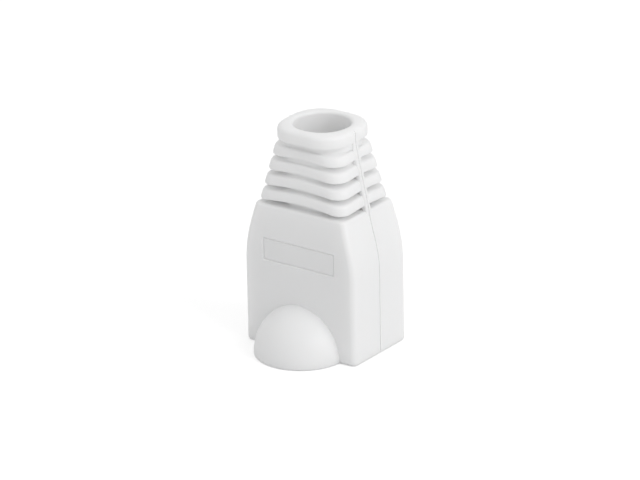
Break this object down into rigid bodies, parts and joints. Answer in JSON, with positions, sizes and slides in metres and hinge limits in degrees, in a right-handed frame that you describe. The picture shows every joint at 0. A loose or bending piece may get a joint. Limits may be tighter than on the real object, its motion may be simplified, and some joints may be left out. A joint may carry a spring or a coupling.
{
  "type": "strain relief boot",
  "caption": "One-piece soft boot for a modular plug, with a straight body, a latch dome, a ribbed tapering neck and a round cable bore under a rounded collar.",
  "frame": {"origin": "centre of the plug mouth in the plane of the rim, on the cable bore's axis", "axes": "+Z from the plug mouth to the cable end, -Y to the side of the latch dome, X across the two mould seams"},
  "size_m": [0.0142, 0.0138, 0.0242],
  "materials": {
    "boot": "soft PVC, satin moulded"
  },
  "bodies": {
    "root": {"strain_relief_boot": "boot"}
  },
  "joints": []
}
